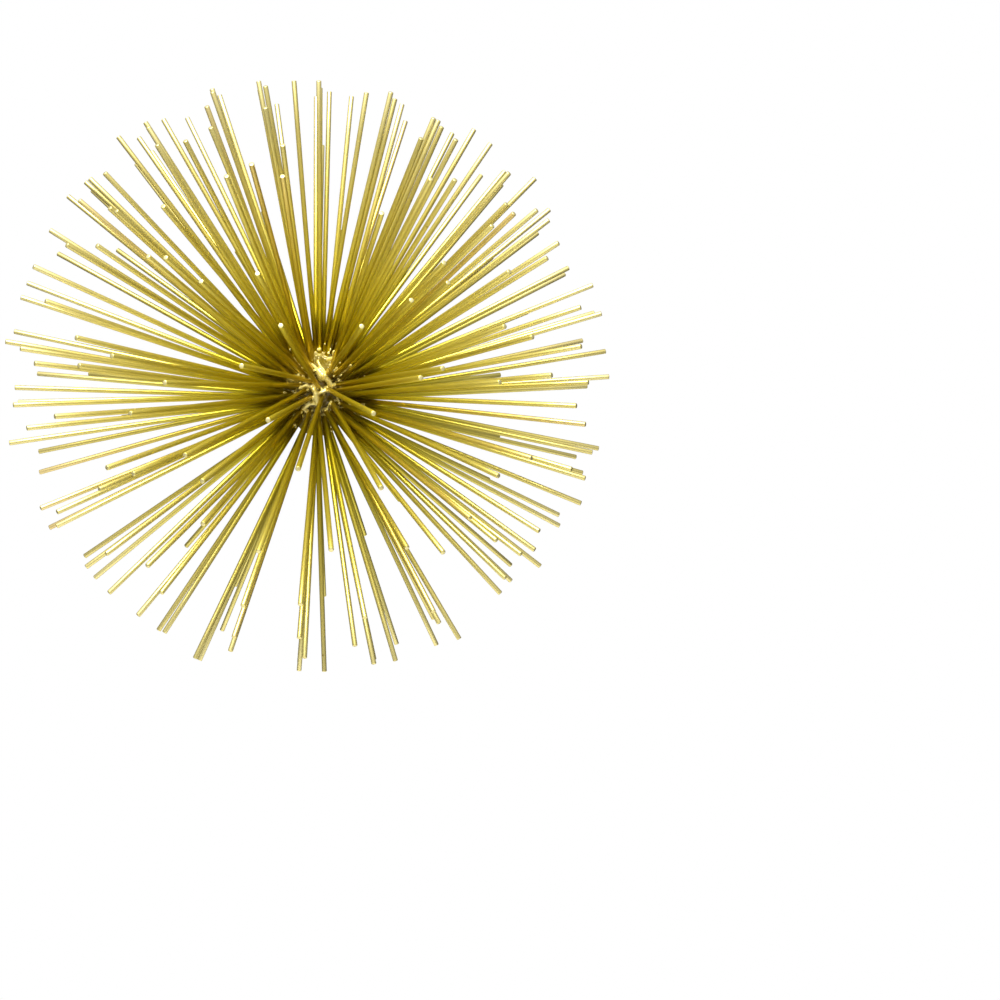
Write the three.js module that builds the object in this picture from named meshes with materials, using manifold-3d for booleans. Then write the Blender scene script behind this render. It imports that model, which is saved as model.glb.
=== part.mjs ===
// A starburst wall sculpture: straight gold rods brazed round a ball, which a short stem holds off the wall.
//
// Millimetres. +Z is up, the front faces -Y, and the wall is the plane Y = 0. The origin is the middle of the
// hanger plate's flat back face. A direction is given from the middle of the ball by two angles in degrees:
// azimuth, clockwise from straight up as seen from the front, and polar, away from straight ahead.

import * as THREE from 'three';
import { mergeVertices } from 'three/addons/utils/BufferGeometryUtils.js';
import Module from 'manifold-3d';

const wasm = await Module();
wasm.setup();

// Driving dimensions
const REACH = 200; // middle of the ball to a rod's tip
const ROD_DIAMETER = 3.2;
const BALL_DIAMETER = 42;
const STAND_OFF = 62; // middle of the ball to the wall
const GAP = 0.3; // clearance between pieces that touch

// The rods' tips lie on a sphere whose middle is a little up and to the left of the ball's
const TIP_SPHERE_SHIFT = new THREE.Vector3(-5, 0, 6);
const REACH_SPREAD = 0.05; // the shortest full rod is this much shorter than REACH
const TIP_SPREAD = 4.8; // furthest that a tip strays from its place, degrees
const TIP_SWEEP = 12; // tips at the sides are swept up to this many degrees towards CROWD_AZIMUTH
const CROWD_AZIMUTH = 5; // where the rods stand closest, nearly straight up
const WALL_CLEARANCE = 3; // the rods that lean back end at least this far off the wall
const SHORT_ROD_SPREAD = 0.2;

// A wedge below the ball holds no rods but one at the front
const PARTING_AZIMUTH = 189.5;
const PARTING_HALF_WIDTH = 8;
const PARTING_MARGIN = 1; // a tip may lean into the wedge by no more than this

// A hollow above the middle of the front: the first rings have no rods there
const HOLLOW_AZIMUTH = 11;
const HOLLOW_HALF_WIDTH = 16;
const HOLLOW_RINGS = 3;

// Rings of roots on the ball, from the third one out. Their tips start nearer to straight ahead than the roots do
const FIRST_ROOT_POLAR = 40;
const ROOT_STEP = 10.5;
const FIRST_TIP_POLAR = 34.9;
const TIP_STEP = 11.2;
const RINGS = [
  { rods: 20, sprays: 4 },
  { rods: 24, sprays: 4 },
  { rods: 28, sprays: 6 },
  { rods: 30, sprays: 5 },
  { rods: 31, sprays: 6 },
  { rods: 30, sprays: 5 },
  { rods: 29, sprays: 5 },
  { rods: 22, sprays: 4 },
];
const SEED = 2896;

// The rods that point most nearly straight ahead, by the tip's azimuth and polar angle, then the root's.
// Their roots leave bare patches of the ball's front, above and below the middle, and some rods lean across it
const FRONT_RODS = [
  [332, 9.5, 110, 4],
  [119, 12, 88, 15],
  [187, 15, 145, 15.5],
  [224, 9.5, 216, 17],
  [238, 24.5, 268, 16],
  [280, 11, 322, 15],
  [312, 24, 318, 29],
  [334, 19, 345, 27.5],
  [46, 12, 32, 27.5],
  [53, 21.5, 54, 29.5],
  [86, 22.5, 78, 29],
  [90, 18.5, 102, 27],
  [147, 22, 130, 28],
  [226, 25, 232, 29],
  [268, 24, 282, 29],
];

// Stem and hanger plate
const STEM_DIAMETER = 12;
const STEM_SOCKET_DEPTH = 12;
const BRAZE_WIDTH = 2.5;
const PLATE_WIDTH = 34;
const PLATE_HEIGHT = 66;
const PLATE_THICKNESS = 3;
const KEYHOLE_HEIGHT = 17; // the keyhole's wide end above the stem
const KEYHOLE_RADIUS = 5;
const KEYHOLE_SLOT_RADIUS = 2.5;
const KEYHOLE_SLOT_LENGTH = 9;

const ROD_SIDES = 6;
const LINK_SIDES = 4;
const ROUND_SIDES = 24;

const BALL_RADIUS = BALL_DIAMETER / 2;
const ROOT_RADIUS = BALL_RADIUS + GAP;
const LINK_RADIUS = 0.8; // the braze that joins a spray's rods at their roots
const LINK_HEIGHT = 1.6; // above the roots
// A hexagon of this radius has the round rod's area
const SIDE_ANGLE = (2 * Math.PI) / ROD_SIDES;
const HEXAGON_RADIUS = (ROD_DIAMETER / 2) * Math.sqrt(SIDE_ANGLE / Math.sin(SIDE_ANGLE));

const METALNESS = 0.8;

function randomNumbers(seed) {
  // Park and Miller's generator: the same numbers in every run, from 0 to 1
  let state = seed;
  return () => {
    state = (state * 48271) % 2147483647;
    return state / 2147483647;
  };
}

function direction(azimuth, polar) {
  const a = THREE.MathUtils.degToRad(azimuth);
  const p = THREE.MathUtils.degToRad(polar);
  return new THREE.Vector3(Math.sin(p) * Math.sin(a), -Math.cos(p), Math.sin(p) * Math.cos(a));
}

function goldPaint() {
  return new THREE.MeshStandardMaterial({ color: 0xb9a23c, roughness: 0.4, metalness: METALNESS });
}

function braze() {
  return new THREE.MeshStandardMaterial({ color: 0xd8c467, roughness: 0.35, metalness: METALNESS });
}

function steel() {
  return new THREE.MeshStandardMaterial({ color: 0x8f7d33, roughness: 0.5, metalness: METALNESS });
}

function solidOf(geometry) {
  const bare = geometry.clone();
  bare.deleteAttribute('normal');
  bare.deleteAttribute('uv');
  const merged = mergeVertices(bare, 1e-4);
  return new wasm.Manifold(new wasm.Mesh({
    numProp: 3,
    vertProperties: new Float32Array(merged.attributes.position.array),
    triVerts: new Uint32Array(merged.index.array),
  }));
}

function geometryOf(solid) {
  const mesh = solid.getMesh();
  const geometry = new THREE.BufferGeometry();
  geometry.setAttribute('position', new THREE.BufferAttribute(new Float32Array(mesh.vertProperties), 3));
  geometry.setIndex(new THREE.BufferAttribute(new Uint32Array(mesh.triVerts), 1));
  geometry.computeVertexNormals();
  return geometry;
}

function bar(start, end, radius, sides) {
  // A straight bar between two points, with its ends cut square
  const along = end.clone().sub(start);
  const length = along.length();
  const turn = new THREE.Quaternion().setFromUnitVectors(new THREE.Vector3(0, 1, 0), along.normalize());
  return new THREE.CylinderGeometry(radius, radius, length, sides)
    .translate(0, length / 2, 0)
    .applyQuaternion(turn)
    .translate(start.x, start.y, start.z);
}

function rod(root, tipDirection, reach) {
  return {
    root: root.clone().multiplyScalar(ROOT_RADIUS),
    tip: tipDirection.clone().multiplyScalar(reach).add(TIP_SPHERE_SHIFT),
  };
}

function rodGeometry({ root, tip }) {
  return bar(root, tip, HEXAGON_RADIUS, ROD_SIDES);
}

function frontRods() {
  return FRONT_RODS.map(([azimuth, polar, rootAzimuth, rootPolar]) => (
    rod(direction(rootAzimuth, rootPolar), direction(azimuth, polar), REACH)));
}

function reachTowards(polar, random) {
  // Rods that lean back far enough to meet the wall are cut short of it
  const depth = -Math.cos(THREE.MathUtils.degToRad(polar));
  const toWall = depth > 0 ? (STAND_OFF - WALL_CLEARANCE) / depth : Infinity;
  const full = REACH * (1 - REACH_SPREAD * random());
  return toWall < full ? toWall * (1 - SHORT_ROD_SPREAD * random()) : full;
}

function awayFromParting(azimuth) {
  const least = PARTING_HALF_WIDTH - PARTING_MARGIN;
  const fromParting = azimuth - PARTING_AZIMUTH;
  return PARTING_AZIMUTH + THREE.MathUtils.clamp(fromParting, least, 360 - least);
}

function ringOfRods(ring, index, random) {
  // The ring starts at one edge of the parting and goes round to the other
  const rootPolar = FIRST_ROOT_POLAR + ROOT_STEP * index;
  const polar = FIRST_TIP_POLAR + TIP_STEP * index;
  const edge = Math.max(PARTING_HALF_WIDTH, 180 / ring.rods);
  const step = (360 - 2 * edge) / (ring.rods - 1);
  const spread = TIP_SPREAD / Math.sin(THREE.MathUtils.degToRad(polar));
  return Array.from({ length: ring.rods }, (_, i) => {
    const azimuth = PARTING_AZIMUTH + edge + i * step;
    const sweep = TIP_SWEEP * Math.sin(THREE.MathUtils.degToRad(azimuth - CROWD_AZIMUTH));
    const tipAzimuth = awayFromParting(azimuth - sweep + spread * (2 * random() - 1));
    const tipPolar = polar + TIP_SPREAD * (2 * random() - 1);
    const root = direction(azimuth, rootPolar);
    return rod(root, direction(tipAzimuth, tipPolar), reachTowards(tipPolar, random));
  });
}

function inSprays(rods, count) {
  // Neighbouring rods, shared out as evenly as they go
  return Array.from({ length: count }, (_, i) => (
    rods.slice(Math.round((i * rods.length) / count), Math.round(((i + 1) * rods.length) / count))));
}

function outsideHollow(rods) {
  return rods.filter(({ root }) => {
    const azimuth = THREE.MathUtils.radToDeg(Math.atan2(root.x, root.z));
    return Math.abs(azimuth - HOLLOW_AZIMUTH) > HOLLOW_HALF_WIDTH;
  });
}

function alongRod({ root, tip }, distance) {
  return tip.clone().sub(root).setLength(distance).add(root);
}

function sprayGeometry(rods) {
  // Rods joined side to side by short bars of braze just above their roots
  const ends = rods.map((one) => alongRod(one, LINK_HEIGHT));
  let spray = solidOf(rodGeometry(rods[0]));
  for (let i = 1; i < rods.length; i += 1) {
    const link = bar(ends[i - 1], ends[i], LINK_RADIUS, LINK_SIDES);
    spray = spray.add(solidOf(link)).add(solidOf(rodGeometry(rods[i])));
  }
  return geometryOf(spray);
}

function ballGeometry() {
  // A ball with a blind socket for the stem at the back
  const socketRadius = STEM_DIAMETER / 2 + GAP;
  const rim = Math.acos(socketRadius / BALL_RADIUS);
  const steps = ROUND_SIDES / 2;
  const profile = Array.from({ length: steps + 1 }, (_, i) => {
    const angle = -Math.PI / 2 + (i / steps) * (Math.PI / 2 + rim);
    return new THREE.Vector2(i === 0 ? 0 : BALL_RADIUS * Math.cos(angle), BALL_RADIUS * Math.sin(angle));
  });
  const floor = BALL_RADIUS - STEM_SOCKET_DEPTH;
  profile.push(new THREE.Vector2(socketRadius, floor), new THREE.Vector2(0, floor));
  return new THREE.LatheGeometry(profile, ROUND_SIDES);
}

function stemGeometry() {
  const start = BALL_RADIUS - STEM_SOCKET_DEPTH + GAP;
  const length = STAND_OFF - PLATE_THICKNESS - GAP - start;
  return new THREE.CylinderGeometry(STEM_DIAMETER / 2, STEM_DIAMETER / 2, length, ROUND_SIDES)
    .translate(0, start + length / 2, 0);
}

function brazeRingGeometry(base, side) {
  // A fillet of braze round the stem: flat against the piece at base, and tapering off towards side
  const inner = STEM_DIAMETER / 2 + GAP;
  const profile = [
    new THREE.Vector2(inner, base),
    new THREE.Vector2(inner + BRAZE_WIDTH, base),
    new THREE.Vector2(inner + BRAZE_WIDTH / 4, base + side * BRAZE_WIDTH * 0.75),
    new THREE.Vector2(inner, base + side * BRAZE_WIDTH),
    new THREE.Vector2(inner, base),
  ];
  return new THREE.LatheGeometry(side > 0 ? profile : profile.reverse(), ROUND_SIDES);
}

function plateGeometry() {
  // A round-ended plate with a keyhole above the stem, narrow end up
  const end = PLATE_WIDTH / 2;
  const straight = PLATE_HEIGHT / 2 - end;
  const outline = new THREE.Shape();
  outline.absarc(0, straight, end, 0, Math.PI);
  outline.absarc(0, -straight, end, Math.PI, 2 * Math.PI);
  const neck = Math.acos(KEYHOLE_SLOT_RADIUS / KEYHOLE_RADIUS);
  const keyhole = new THREE.Path();
  keyhole.absarc(0, KEYHOLE_HEIGHT, KEYHOLE_RADIUS, neck, Math.PI - neck, true);
  keyhole.absarc(0, KEYHOLE_HEIGHT + KEYHOLE_SLOT_LENGTH, KEYHOLE_SLOT_RADIUS, Math.PI, 0, true);
  outline.holes.push(keyhole);
  const settings = { depth: PLATE_THICKNESS, bevelEnabled: false, curveSegments: ROUND_SIDES / 2 };
  return new THREE.ExtrudeGeometry(outline, settings).rotateX(Math.PI / 2);
}

function addPiece(group, name, geometry, finish) {
  const piece = new THREE.Mesh(geometry, finish);
  piece.name = name;
  group.add(piece);
  return piece;
}

function addRods(group) {
  const random = randomNumbers(SEED);
  frontRods().forEach((front, i) => {
    const name = `front_rod_${String(i + 1).padStart(2, '0')}`;
    addPiece(group, name, rodGeometry(front), goldPaint());
  });
  RINGS.forEach((ring, index) => {
    inSprays(ringOfRods(ring, index, random), ring.sprays).forEach((rods, i) => {
      const kept = index < HOLLOW_RINGS ? outsideHollow(rods) : rods;
      addPiece(group, `rod_spray_ring${index + 3}_${i + 1}`, sprayGeometry(kept), goldPaint());
    });
  });
}

function addHanger(group) {
  const socketRim = Math.sqrt(BALL_RADIUS ** 2 - (STEM_DIAMETER / 2 + GAP) ** 2);
  const plateFront = STAND_OFF - PLATE_THICKNESS;
  addPiece(group, 'stem', stemGeometry(), steel());
  addPiece(group, 'stem_braze_at_ball', brazeRingGeometry(socketRim + GAP, 1), braze());
  addPiece(group, 'stem_braze_at_plate', brazeRingGeometry(plateFront - GAP, -1), braze());
  addPiece(group, 'hanger_plate', plateGeometry(), steel()).position.y = STAND_OFF;
}

const sculpture = new THREE.Group();
sculpture.position.y = -STAND_OFF;
addPiece(sculpture, 'hub_ball', ballGeometry(), braze());
addRods(sculpture);
addHanger(sculpture);

export default sculpture;
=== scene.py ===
"""Looks for a starburst wall sculpture: straight gold rods brazed round a ball, held off the wall by a stem.

Metres. +Z is up, the front faces -Y, and the wall is the plane Y = 0. Every rod's place is read from the
frame: the flat end of each rod gives its tip and its direction, and the ball gives where it starts.
"""

import math
import random

import bmesh
import bpy
import numpy as np
from mathutils import Matrix, Vector, noise


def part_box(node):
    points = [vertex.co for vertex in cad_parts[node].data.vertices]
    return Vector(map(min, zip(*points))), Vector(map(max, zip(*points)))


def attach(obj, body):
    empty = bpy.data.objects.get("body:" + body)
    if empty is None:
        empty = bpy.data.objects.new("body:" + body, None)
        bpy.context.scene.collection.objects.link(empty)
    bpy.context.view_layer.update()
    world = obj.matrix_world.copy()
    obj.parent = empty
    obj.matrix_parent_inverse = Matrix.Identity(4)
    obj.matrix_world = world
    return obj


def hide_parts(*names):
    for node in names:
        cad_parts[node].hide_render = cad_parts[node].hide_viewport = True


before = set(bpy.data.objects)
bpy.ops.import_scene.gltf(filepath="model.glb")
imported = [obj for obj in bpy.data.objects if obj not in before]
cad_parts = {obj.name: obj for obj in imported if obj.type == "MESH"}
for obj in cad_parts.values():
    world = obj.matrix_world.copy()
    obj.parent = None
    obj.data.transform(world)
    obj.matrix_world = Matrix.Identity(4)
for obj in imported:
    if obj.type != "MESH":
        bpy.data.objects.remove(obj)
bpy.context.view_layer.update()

MM = 0.001

# Rods
ROD_RADIUS = 1.6 * MM
ROD_SIDES = 20
ROOT_GAP = 0.3 * MM  # from the ball to a rod's flat root
BOW = 0.35 * MM  # how far the middle of a rod strays from a straight line, at most
BOW_RINGS = 6
END_HIGHLIGHT_LENGTH = 0.15 * MM  # painted highlight: the face of the cut end and its edge are painted paler
# The rounded edge of a cut end: distance from the end, and how much thinner the rod is there
END_EDGE = [(0.03 * MM, 0.70 * MM), (0.09 * MM, 0.38 * MM), (0.22 * MM, 0.14 * MM), (0.50 * MM, 0.0)]

# What tells the flat end of a rod from the other faces of a node
LEAST_TRIANGLE = 1e-12  # square metres
SAME_DIRECTION = 0.99999  # cosine between the normals of two triangles of one face
SAME_PLANE = 0.01 * MM
END_AREA_SLACK = 0.02
END_FACES_OUT = 0.9  # cosine between the end's normal and the line from the ball, at least
LEAST_REACH = 60 * MM  # every tip is further than this from the middle of the ball

# Paint
GRAIN_ACROSS = 0.8  # streaks of the drawn metal: narrow across the rod and long along it
GRAIN_LENGTH = 30 * MM
SHADE_AND_GLOSS_NEAR = 20 * MM  # painted shade: the paint is darkest here and clear of it by there, measured from the hub; the roughness changes over the same span
SHADE_AND_GLOSS_FAR = 200 * MM
SHADE_DEPTH_SHARE = 0.35  # rods that point ahead keep the painted shade of the middle for longer
FULL_SHADE_ON_BRAZE = 1.2 * MM  # painted shade: the braze is dark brown up to this height over the ball, and its own colour from the next
NO_SHADE_ON_BRAZE = 3 * MM

# Braze: a lumpy skin over the ball, a fillet round each root, webs between rods, and drops on them.
# A pair is the least and the most of a length in mm, of a stretch or of an angle.
HUB_SEED = 11
BRAZE_SKIN = 0.9 * MM
BRAZE_LUMP = 0.7 * MM
LUMP_WIDTH = 4.5 * MM
FINE_LUMP_WIDTH = 2.2 * MM
BRAZE_VOXEL = 0.4 * MM
MELT_STEPS = 7
MELT_FACTOR = 0.5

FILLET_SIDES = 14
FILLET_BURIED = 2 * MM
FILLET_LIP = 0.15 * MM
FILLET_HEIGHT = (1.5, 5)
FILLET_WIDTH = (0.5, 1.1)  # past the rod

DROPS_ON_A_ROD = 2
DROP_SHARE = 0.6  # of the drops that a rod could have
DROP_START = 2 * MM  # a drop is this far from the root or further
DROP_REACH = 13 * MM  # the furthest that a drop is from the root
DROP_RADIUS = (0.7, 1.15)
DROP_STRETCH = (1, 2)
DROP_LEAN = (-1.1, 1.1)  # radians round the rod from its front

# Thin webs, each between two rods whose roots are near each other at the front of the ball
WEB_FRONT_ANGLE = 36  # degrees from straight ahead to the nearer root, at most
WEB_REACH = 8.2 * MM  # from root to root, at most
WEB_SHARE = 0.35
WEB_BEADS = 6
WEB_WAIST = 0.38  # how much thinner a web is in the middle
WEB_SAG = (0.2, 1.2)
WEB_HEIGHT = (2.5, 6)  # along its first rod, from the root
WEB_SLANT = (-1, 1)  # how much higher it is on its second rod
WEB_RADIUS = (0.9, 1.3)
WEB_STRETCH = 1.5

# Thick webs, drawn as they are seen from ahead: points (right of the hub, above it, half of the width), in mm
THICK_WEB_HEIGHT = 8 * MM  # above the ball
THICK_WEB_RISE = 1.6  # least distance from the hub, as a share of the distance to its side
THICK_WEB_STEP = 0.7 * MM
THICK_WEB_UNEVEN = (0.9, 1.1)
THICK_WEB_STRETCH = 2
THICK_WEBS = [
    [(-5, 17, 0.9), (-3, 15, 1.3), (0, 12, 1.7), (3, 8.5, 2.7), (7, 10, 1.6), (9, 12, 1.3), (13, 12, 1.5),
     (16, 11.5, 1.7), (19, 12, 1.2), (21.5, 15, 0.9)],
    [(5, 8, 2.1), (7.5, 5, 1.6), (9, 1.5, 1.7), (12, 2.5, 1.3), (14, 5.5, 1.0)],
    [(0, 18, 0.9), (2, 14, 1.0), (4, 12, 1.0)],
    [(-21, 9, 1.5), (-18, 7, 2.0), (-14.5, 8, 1.3), (-10.5, 6.5, 1.2), (-7, 5.5, 1.3), (-3, 6.5, 1.2)],
    [(-12, 0, 0.9), (-7.5, 2, 1.2), (-4, 1, 1.8), (-1, -3, 2.5), (-0.5, -8, 2.7), (0, -10.5, 2.0)],
    [(1, -3, 1.6), (4.5, -1.5, 1.1), (7, -2, 0.9)],
    [(-1, -9.5, 1.8), (-5, -10, 1.4), (-9, -13, 1.4), (-12, -15, 1.1)],
    [(-9, -13, 1.1), (-7.5, -15.5, 1.0)],
    [(6.5, 19.5, 1.0), (10, 20, 1.1), (12.5, 21.5, 1.6), (10.5, 24, 0.9)],
]

hub_low, hub_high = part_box("hub_ball")
BALL_RADIUS = (hub_high.x - hub_low.x) / 2
HUB = Vector(((hub_low.x + hub_high.x) / 2, hub_low.y + BALL_RADIUS, (hub_low.z + hub_high.z) / 2))

AHEAD = Vector((0, -1, 0))

# Camera: straight ahead of the hub, turned to a point below it and to its right
CAMERA_DISTANCE = 1.3
CAMERA_LENS = 70.2  # millimetres, as is the sensor
CAMERA_SENSOR = 36
CAMERA_AIM = Vector((0.1213, 0, -0.0747))  # from the middle of the ball

FLOOR_DROP = 0.75  # from the middle of the ball
FLOOR_RADIUS = 0.9
FLOOR_SIDES = 96

# Light from all round: its brightest direction, its strength there and on the far side, and the
# cosines between which it fades
SKY_FROM = Vector((-0.1, -0.68, 0.73))
SKY_AHEAD = 0.8
SKY_BEHIND = 0.1
SKY_FADE = (-0.5, 0.9)

# The key light: its place from the middle of the ball, its size and its power
KEY_PLACE = Vector((-0.3, -1.05, 1.35))
KEY_SIZE = 0.9
KEY_POWER = 78


# ---- Rods ----------------------------------------------------------------------------------------

def flat_faces(node):
    """The node's flat faces, each as (area, middle, normal)."""
    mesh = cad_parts[node].data
    mesh.calc_loop_triangles()
    corners = np.array([v.co for v in mesh.vertices], float)
    triangles = np.array([t.vertices for t in mesh.loop_triangles])
    a, b, c = (corners[triangles[:, k]] for k in range(3))
    cross = np.cross(b - a, c - a)
    area = np.linalg.norm(cross, axis=1) / 2
    kept = area > LEAST_TRIANGLE
    a, b, c, cross, area = a[kept], b[kept], c[kept], cross[kept], area[kept]
    normal = cross / (2 * area[:, None])
    middle = (a + b + c) / 3
    offset = (normal * middle).sum(axis=1)
    loose = list(range(len(area)))
    faces = []
    while loose:
        first = loose[0]
        group = [i for i in loose
                 if normal[i] @ normal[first] > SAME_DIRECTION
                 and abs(offset[i] - offset[first]) < SAME_PLANE
                 and np.linalg.norm(middle[i] - middle[first]) < 3 * ROD_RADIUS]
        loose = [i for i in loose if i not in group]
        total = area[group].sum()
        centre = (middle[group] * area[group, None]).sum(axis=0) / total
        faces.append((total, Vector(centre), Vector(normal[group].mean(axis=0)).normalized()))
    return faces


def rods_of(node):
    """The root and tip of each rod in a node of the frame."""
    end_area = math.pi * ROD_RADIUS ** 2
    found = []
    for area, tip, along in flat_faces(node):
        reach = (tip - HUB).length
        faces_out = (tip - HUB).dot(along) > END_FACES_OUT * reach
        is_end = abs(area / end_area - 1) < END_AREA_SLACK
        if is_end and faces_out and reach > LEAST_REACH:
            found.append((root_of(tip, along), tip))
    return found


def root_of(tip, along):
    """Where a rod's line meets the sphere that the roots stand on."""
    nearest = (tip - HUB).dot(along)
    aside = ((tip - HUB) - along * nearest).length
    start = math.sqrt((BALL_RADIUS + ROOT_GAP) ** 2 - aside ** 2)
    return tip - along * (nearest - start)


def rod_profile(length):
    """Rings along a rod, from root to tip: (distance from the root, radius)."""
    straight = [(length * i / BOW_RINGS, ROD_RADIUS) for i in range(BOW_RINGS)]
    edge = [(length - distance, ROD_RADIUS - thinner) for distance, thinner in reversed(END_EDGE)]
    return straight + edge


def add_rod(bm, root, tip, chance, layers):
    """One round rod with a softly rounded cut end and a slight bow."""
    along = (tip - root).normalized()
    length = (tip - root).length
    side = along.orthogonal().normalized()
    turn = Matrix.Rotation(chance.uniform(0, 2 * math.pi), 3, along)
    bow = (turn @ side) * chance.uniform(0, BOW)
    tone = chance.random()
    grain_start = chance.uniform(0, 100)

    def add_vert(place, distance, across, painted_end_highlight):
        vert = bm.verts.new(place)
        vert[layers["tone"]] = tone
        vert[layers["painted_end_highlight"]] = float(painted_end_highlight)
        vert[layers["grain_place"]] = (*across, grain_start + distance / GRAIN_LENGTH)
        return vert

    rings = []
    for distance, radius in rod_profile(length):
        middle = root + along * distance + bow * math.sin(math.pi * distance / length)
        ring = []
        for k in range(ROD_SIDES):
            angle = 2 * math.pi * k / ROD_SIDES
            spoke = Matrix.Rotation(angle, 3, along) @ side
            across = (GRAIN_ACROSS * math.cos(angle), GRAIN_ACROSS * math.sin(angle))
            ring.append(add_vert(middle + spoke * radius, distance, across, length - distance < END_HIGHLIGHT_LENGTH))
        rings.append(ring)
    end = add_vert(tip, length, (0, 0), True)
    start = add_vert(root, 0, (0, 0), False)
    join_rings(bm, rings, start, end)


def join_rings(bm, rings, start, end):
    """The faces of a rod: quads between its rings, and a fan over each end."""
    sides = [(k, (k + 1) % ROD_SIDES) for k in range(ROD_SIDES)]
    for low, high in zip(rings, rings[1:]):
        for k, n in sides:
            bm.faces.new((low[k], low[n], high[n], high[k]))
    first, last = rings[0], rings[-1]
    for k, n in sides:
        bm.faces.new((last[k], last[n], end))
        bm.faces.new((first[n], first[k], start))


def make_rods(node, name, seed, finish):
    """The round rods that stand for one node of the frame. Returns each rod's root and tip."""
    chance = random.Random(seed)
    bm = bmesh.new()
    layers = {
        "tone": bm.verts.layers.float.new("tone"),
        "painted_end_highlight": bm.verts.layers.float.new("painted_end_highlight"),
        "grain_place": bm.verts.layers.float_vector.new("grain_place"),
    }
    rods = rods_of(node)
    for root, tip in rods:
        add_rod(bm, root, tip, chance, layers)
    piece = mesh_object(name, bm, finish)
    place_piece(piece, "gold_rod", node)
    return rods


# ---- Braze ---------------------------------------------------------------------------------------

def add_bead(bm, middle, radius, along, stretch):
    """A small ball of braze, stretched along a direction."""
    for vert in bmesh.ops.create_icosphere(bm, subdivisions=2, radius=radius)["verts"]:
        vert.co += along * vert.co.dot(along) * (stretch - 1)
        vert.co += middle


def add_web(bm, start, end, radius, chance):
    """Braze that hangs between two rods: thick where it meets them and thinner, and lower, in the middle."""
    inward = (HUB - (start + end) / 2).normalized()
    sag = chance.uniform(*WEB_SAG) * MM
    for i in range(WEB_BEADS):
        t = i / (WEB_BEADS - 1)
        bulge = math.sin(math.pi * t)
        middle = start.lerp(end, t) + inward * sag * bulge
        add_bead(bm, middle, radius * (1 - WEB_WAIST * bulge ** 2), inward, WEB_STRETCH)


def above_ball(right, up):
    """The point over the ball that is seen so far to the right of the hub and above it."""
    aside = math.hypot(right, up)
    shell = max(BALL_RADIUS + THICK_WEB_HEIGHT, THICK_WEB_RISE * aside)
    return HUB + Vector((right, -math.sqrt(shell ** 2 - aside ** 2), up))


def add_thick_web(bm, line, chance):
    """A ridge of braze along a line of points that reaches down towards the ball."""
    for (right, up, wide), (next_right, next_up, next_wide) in zip(line, line[1:]):
        start = above_ball(right * MM, up * MM)
        end = above_ball(next_right * MM, next_up * MM)
        steps = math.ceil((end - start).length / THICK_WEB_STEP)
        for i in range(steps + 1):
            t = i / steps
            middle = start.lerp(end, t)
            radius = (wide + (next_wide - wide) * t) * MM * chance.uniform(*THICK_WEB_UNEVEN)
            inward = (HUB - middle).normalized()
            add_bead(bm, middle + inward * radius, radius, inward, THICK_WEB_STRETCH)


def add_fillet(bm, root, along, height, radius):
    """Braze that has climbed a rod a little way."""
    turn = along.to_track_quat("Z", "Y").to_matrix().to_4x4()
    place = Matrix.Translation(root + along * (height - FILLET_BURIED) / 2) @ turn
    bmesh.ops.create_cone(bm, cap_ends=True, segments=FILLET_SIDES, radius1=radius,
                          radius2=ROD_RADIUS + FILLET_LIP, depth=height + FILLET_BURIED, matrix=place)


def from_ahead(point):
    """The angle between straight ahead and a point, seen from the middle of the ball, in degrees."""
    return math.degrees((point - HUB).angle(AHEAD))


def add_ball(bm):
    """The ball under its skin of braze, a little lumpy."""
    bmesh.ops.create_icosphere(bm, subdivisions=5, radius=BALL_RADIUS + BRAZE_SKIN)
    for vert in bm.verts:
        lump = noise.noise(vert.co / LUMP_WIDTH) + 0.5 * noise.noise(vert.co / FINE_LUMP_WIDTH)
        vert.co += vert.co.normalized() * lump * BRAZE_LUMP
        vert.co += HUB


def add_thin_webs(bm, lines, chance):
    """Webs between neighbouring rods at the front. A line is a rod's root and its direction."""
    for i, (root, along) in enumerate(lines):
        for other, other_along in lines[i + 1:]:
            at_front = min(from_ahead(root), from_ahead(other)) < WEB_FRONT_ANGLE
            if at_front and (root - other).length < WEB_REACH and chance.random() < WEB_SHARE:
                height = chance.uniform(*WEB_HEIGHT) * MM
                other_height = height + chance.uniform(*WEB_SLANT) * MM
                start = root + along * height
                end = other + other_along * other_height
                add_web(bm, start, end, chance.uniform(*WEB_RADIUS) * MM, chance)


def add_drops(bm, root, along, chance):
    """Drops of braze that have run along a rod, mostly on its front."""
    front = (AHEAD - along * AHEAD.dot(along)).normalized()
    for _ in range(DROPS_ON_A_ROD):
        distance = chance.uniform(DROP_START, DROP_REACH)
        lean = Matrix.Rotation(chance.uniform(*DROP_LEAN), 3, along) @ front
        radius = chance.uniform(*DROP_RADIUS) * MM
        stretch = chance.uniform(*DROP_STRETCH)
        if chance.random() < DROP_SHARE:
            add_bead(bm, root + along * distance + lean * ROD_RADIUS, radius, along, stretch)


def make_hub(rods, finish):
    """The ball with the braze that has flowed over it and between the roots, as one melted surface."""
    chance = random.Random(HUB_SEED)
    bm = bmesh.new()
    add_ball(bm)
    lines = [(root, (tip - root).normalized()) for root, tip in rods]
    for root, along in lines:
        height = chance.uniform(*FILLET_HEIGHT) * MM
        add_fillet(bm, root, along, height, ROD_RADIUS + chance.uniform(*FILLET_WIDTH) * MM)
    add_thin_webs(bm, lines, chance)
    for line in THICK_WEBS:
        add_thick_web(bm, line, chance)
    for root, along in lines:
        add_drops(bm, root, along, chance)
    piece = mesh_object("brazed_hub", bm, finish)
    melt(piece)
    place_piece(piece, "gold_braze", "hub_ball")


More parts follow.
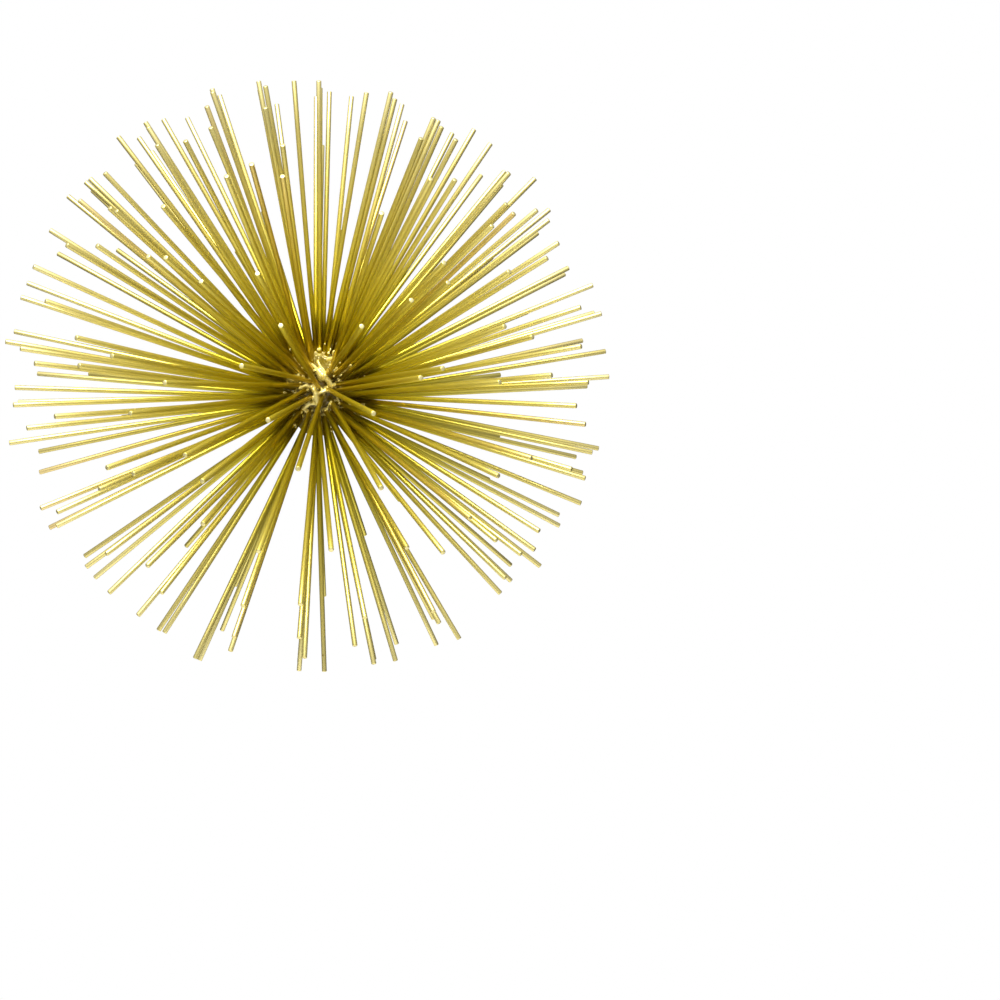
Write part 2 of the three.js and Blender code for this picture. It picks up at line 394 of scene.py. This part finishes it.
def melt(piece):
    """Joins overlapping shapes into one surface and smooths it."""
    remesh = piece.modifiers.new("join", "REMESH")
    remesh.mode = "VOXEL"
    remesh.voxel_size = BRAZE_VOXEL
    smooth = piece.modifiers.new("melt", "SMOOTH")
    smooth.factor = MELT_FACTOR
    smooth.iterations = MELT_STEPS
    apply_modifiers(piece)


def apply_modifiers(piece):
    """Turns the piece's modifiers into plain mesh."""
    graph = bpy.context.evaluated_depsgraph_get()
    final = bpy.data.meshes.new_from_object(piece.evaluated_get(graph))
    piece.modifiers.clear()
    piece.data = final
    shade_smooth(final)


# ---- Making pieces -------------------------------------------------------------------------------

def shade_smooth(mesh):
    for face in mesh.polygons:
        face.use_smooth = True


def mesh_object(name, bm, finish):
    """An object in the scene with the faces of bm and one material."""
    mesh = bpy.data.meshes.new(name)
    bmesh.ops.recalc_face_normals(bm, faces=bm.faces)
    bm.to_mesh(mesh)
    bm.free()
    shade_smooth(mesh)
    mesh.materials.append(finish)
    piece = bpy.data.objects.new(name, mesh)
    bpy.context.scene.collection.objects.link(piece)
    return piece


def place_piece(piece, slot, *nodes):
    """Puts a piece on the object's only body, in place of nodes of the frame."""
    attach(piece, "root")
    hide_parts(*nodes)


# ---- Materials -----------------------------------------------------------------------------------

def new_material(name):
    """A material with its nodes, and its Principled shader."""
    material = bpy.data.materials.new(name)
    material.use_nodes = True
    return material, material.node_tree, material.node_tree.nodes["Principled BSDF"]


def node(tree, kind, **inputs):
    """A shader node of a kind, with plain values in its inputs."""
    made = tree.nodes.new(kind)
    for key, value in inputs.items():
        made.inputs[key.replace("_", " ")].default_value = value
    return made


def noise_node(tree, where, scale, detail):
    made = node(tree, "ShaderNodeTexNoise", Scale=scale, Detail=detail)
    tree.links.new(where, made.inputs["Vector"])
    return made


def object_place(tree):
    return tree.nodes.new("ShaderNodeTexCoord").outputs["Object"]


def attribute(tree, name):
    """Reads one of the values that add_rod gives to each vertex."""
    made = tree.nodes.new("ShaderNodeAttribute")
    made.attribute_name = name
    return made


def map_range(tree, value, low, high, to_low, to_high):
    """Goes from to_low to to_high as the value goes from low to high, and no further."""
    made = tree.nodes.new("ShaderNodeMapRange")
    for key, number in (("From Min", low), ("From Max", high), ("To Min", to_low), ("To Max", to_high)):
        made.inputs[key].default_value = number
    tree.links.new(value, made.inputs["Value"])
    return made


def mix_colour(tree, factor, colour, other):
    """From colour, a socket, to the plain colour other as the factor goes from 0 to 1."""
    made = tree.nodes.new("ShaderNodeMix")
    made.data_type = "RGBA"
    sockets = {socket.identifier: socket for socket in made.inputs}
    sockets["B_Color"].default_value = (*other, 1)
    tree.links.new(factor, sockets["Factor_Float"])
    tree.links.new(colour, sockets["A_Color"])
    return next(socket for socket in made.outputs if socket.identifier == "Result_Color")


def vector_math(tree, operation, vector):
    made = tree.nodes.new("ShaderNodeVectorMath")
    made.operation = operation
    tree.links.new(vector, made.inputs[0])
    return made


def scale_colour(tree, colour, shade):
    made = vector_math(tree, "SCALE", colour)
    tree.links.new(shade, made.inputs["Scale"])
    return made.outputs["Vector"]


def multiply_colours(tree, colour, other):
    made = vector_math(tree, "MULTIPLY", colour)
    tree.links.new(other, made.inputs[1])
    return made.outputs["Vector"]


def ramp(tree, value, stops):
    """A colour ramp with the given (position, colour) stops."""
    made = tree.nodes.new("ShaderNodeValToRGB")
    elements = made.color_ramp.elements
    while len(elements) < len(stops):
        elements.new(0.5)
    for element, (position, colour) in zip(elements, stops):
        element.position = position
        element.color = (*colour, 1)
    tree.links.new(value, made.inputs["Fac"])
    return made


def from_hub(tree, low, high, depth_share=1.0):
    """Rises from 0 to 1 between two distances from the hub. Depth counts by its share of it."""
    offset = vector_math(tree, "SUBTRACT", object_place(tree))
    offset.inputs[1].default_value = HUB
    flattened = vector_math(tree, "MULTIPLY", offset.outputs["Vector"])
    flattened.inputs[1].default_value = (1, depth_share, 1)
    distance = vector_math(tree, "LENGTH", flattened.outputs["Vector"])
    return map_range(tree, distance.outputs["Value"], low, high, 0, 1).outputs["Result"]


def gold_rod_material():
    """Satin gold paint with painted shade: darker and deeper in colour towards the hub. Every rod is a little
    different.
    """
    material, tree, shader = new_material("gold_rod")
    # Painted shade: the paint is darker and more saturated towards the hub, where the rods crowd.
    paint = ramp(tree, from_hub(tree, SHADE_AND_GLOSS_NEAR, SHADE_AND_GLOSS_FAR, SHADE_DEPTH_SHARE), [
        (0.00, (0.56, 0.435, 0.003)),
        (0.14, (0.51, 0.422, 0.010)),
        (0.30, (0.55, 0.462, 0.042)),
        (0.60, (0.63, 0.535, 0.140)),
        (1.00, (0.70, 0.610, 0.265)),
    ])
    batch = ramp(tree, attribute(tree, "tone").outputs["Fac"], [
        (0.00, (0.84, 0.82, 0.70)),
        (0.50, (1.00, 1.00, 1.00)),
        (0.90, (1.06, 1.07, 1.15)),
        (0.95, (1.00, 0.93, 1.00)),
        (1.00, (0.90, 0.80, 0.80)),
    ])
    tinted = multiply_colours(tree, paint.outputs["Color"], batch.outputs["Color"])
    streaks = noise_node(tree, attribute(tree, "grain_place").outputs["Vector"], 1.0, 1)
    shade = map_range(tree, streaks.outputs["Fac"], 0.3, 0.7, 0.96, 1.03)
    painted = scale_colour(tree, tinted, shade.outputs["Result"])
    spots = noise_node(tree, object_place(tree), 230, 1)
    worn = map_range(tree, spots.outputs["Fac"], 0.79, 0.83, 0, 0.7)
    colour = mix_colour(tree, worn.outputs["Result"], painted, (0.25, 0.14, 0.03))
    # Painted highlight: the face of the cut end and its edge are paler.
    colour = mix_colour(tree, attribute(tree, "painted_end_highlight").outputs["Fac"], colour, (0.68, 0.60, 0.28))
    tree.links.new(colour, shader.inputs["Base Color"])
    rough = map_range(tree, from_hub(tree, SHADE_AND_GLOSS_NEAR, SHADE_AND_GLOSS_FAR), 0, 1, 0.28, 0.44)
    tree.links.new(rough.outputs["Result"], shader.inputs["Roughness"])
    shader.inputs["Metallic"].default_value = 0.85
    shader.inputs["Specular Tint"].default_value = (0.9, 0.74, 0.15, 1)
    shader.inputs["Coat Weight"].default_value = 0.15
    shader.inputs["Coat Roughness"].default_value = 0.25
    return material


def gold_braze_material():
    """Braze that has flowed and set: pale and glossy outside, with painted shade, a dark brown, in the gaps
    next to the ball.
    """
    material, tree, shader = new_material("gold_braze")
    patches = noise_node(tree, object_place(tree), 220, 4)
    bright = ramp(tree, patches.outputs["Fac"], [(0.35, (0.84, 0.70, 0.18)), (0.65, (0.97, 0.85, 0.34))])
    # Painted shade: dark brown close over the ball, in the gaps between the roots.
    gap_shade = from_hub(tree, BALL_RADIUS + NO_SHADE_ON_BRAZE, BALL_RADIUS + FULL_SHADE_ON_BRAZE)
    colour = mix_colour(tree, gap_shade, bright.outputs["Color"], (0.16, 0.115, 0.008))
    tree.links.new(colour, shader.inputs["Base Color"])
    rough = map_range(tree, patches.outputs["Fac"], 0.3, 0.7, 0.18, 0.36)
    tree.links.new(rough.outputs["Result"], shader.inputs["Roughness"])
    shader.inputs["Metallic"].default_value = 0.25
    shader.inputs["Coat Weight"].default_value = 0.6
    shader.inputs["Coat Roughness"].default_value = 0.12
    return material


def hanger_material():
    """The same paint on sheet steel, thinner and duller."""
    material, tree, shader = new_material("hanger_steel")
    patches = noise_node(tree, object_place(tree), 90, 5)
    colour = ramp(tree, patches.outputs["Fac"], [(0.35, (0.34, 0.27, 0.075)), (0.65, (0.50, 0.41, 0.13))])
    tree.links.new(colour.outputs["Color"], shader.inputs["Base Color"])
    rough = map_range(tree, patches.outputs["Fac"], 0, 1, 0.32, 0.55)
    tree.links.new(rough.outputs["Result"], shader.inputs["Roughness"])
    bump = node(tree, "ShaderNodeBump", Strength=0.15, Distance=0.0003)
    tree.links.new(patches.outputs["Fac"], bump.inputs["Height"])
    tree.links.new(bump.outputs["Normal"], shader.inputs["Normal"])
    shader.inputs["Metallic"].default_value = 1
    return material


def floor_material():
    material, _, shader = new_material("floor_white")
    shader.inputs["Base Color"].default_value = (0.9, 0.9, 0.9, 1)
    shader.inputs["Roughness"].default_value = 0.9
    return material


# ---- Stage ---------------------------------------------------------------------------------------

def make_camera():
    data = bpy.data.cameras.new("camera")
    data.lens = CAMERA_LENS
    data.sensor_width = CAMERA_SENSOR
    camera = bpy.data.objects.new("camera", data)
    bpy.context.scene.collection.objects.link(camera)
    camera.location = HUB + AHEAD * CAMERA_DISTANCE
    camera.rotation_mode = "QUATERNION"
    camera.rotation_quaternion = (HUB + CAMERA_AIM - camera.location).to_track_quat("-Z", "Y")
    bpy.context.scene.camera = camera


def make_key_light():
    data = bpy.data.lights.new("key", "AREA")
    data.shape = "DISK"
    data.size = KEY_SIZE
    data.energy = KEY_POWER
    light = bpy.data.objects.new("key", data)
    bpy.context.scene.collection.objects.link(light)
    light.location = HUB + KEY_PLACE
    light.rotation_mode = "QUATERNION"
    light.rotation_quaternion = (-KEY_PLACE).to_track_quat("-Z", "Y")


def make_world():
    """White to the eye. To the object it is a soft light from above and in front, and dim behind."""
    world = bpy.data.worlds.new("studio")
    world.use_nodes = True
    tree = world.node_tree
    tree.nodes.clear()
    output = tree.nodes.new("ShaderNodeOutputWorld")
    mix = tree.nodes.new("ShaderNodeMixShader")
    path = tree.nodes.new("ShaderNodeLightPath")
    towards = tree.nodes.new("ShaderNodeTexCoord").outputs["Generated"]
    facing = vector_math(tree, "DOT_PRODUCT", towards)
    facing.inputs[1].default_value = SKY_FROM
    strength = map_range(tree, facing.outputs["Value"], *SKY_FADE, SKY_BEHIND, SKY_AHEAD)
    strength.interpolation_type = "SMOOTHSTEP"
    seen = node(tree, "ShaderNodeBackground", Color=(1, 1, 1, 1), Strength=1)
    lit = node(tree, "ShaderNodeBackground", Color=(1, 1, 1, 1))
    tree.links.new(strength.outputs["Result"], lit.inputs["Strength"])
    tree.links.new(path.outputs["Is Camera Ray"], mix.inputs[0])
    tree.links.new(lit.outputs[0], mix.inputs[1])
    tree.links.new(seen.outputs[0], mix.inputs[2])
    tree.links.new(mix.outputs[0], output.inputs["Surface"])
    bpy.context.scene.world = world


def make_floor():
    """A round white floor well below the sculpture, which hangs on a wall that isn't shown."""
    bm = bmesh.new()
    bmesh.ops.create_circle(bm, cap_ends=True, segments=FLOOR_SIDES, radius=FLOOR_RADIUS)
    floor = mesh_object("floor", bm, floor_material())
    floor.location = Vector((0, HUB.y, HUB.z - FLOOR_DROP))


def make_stage():
    bpy.context.scene.view_settings.view_transform = "Standard"
    make_world()
    make_floor()
    make_key_light()


# ---- The sculpture -------------------------------------------------------------------------------

def finish_cad_nodes(names, finish):
    """Gives a material to nodes of the frame that need no new shape."""
    for name in names:
        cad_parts[name].data.materials.clear()
        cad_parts[name].data.materials.append(finish)


def make_sculpture():
    """Round rods for each node of rods, the brazed hub, and the CAD's stem and plate as they are."""
    rod_finish = gold_rod_material()
    braze_finish = gold_braze_material()
    rods = []
    nodes = sorted(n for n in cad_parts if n.startswith(("front_rod", "rod_spray")))
    for seed, name in enumerate(nodes):
        rods += make_rods(name, name.replace("rod_spray", "rods") + "_round", seed, rod_finish)
    make_hub(rods, braze_finish)
    finish_cad_nodes(("stem", "hanger_plate"), hanger_material())
    finish_cad_nodes(("stem_braze_at_ball", "stem_braze_at_plate"), braze_finish)
    print("rods", len(rods))


make_camera()
make_stage()
make_sculpture()
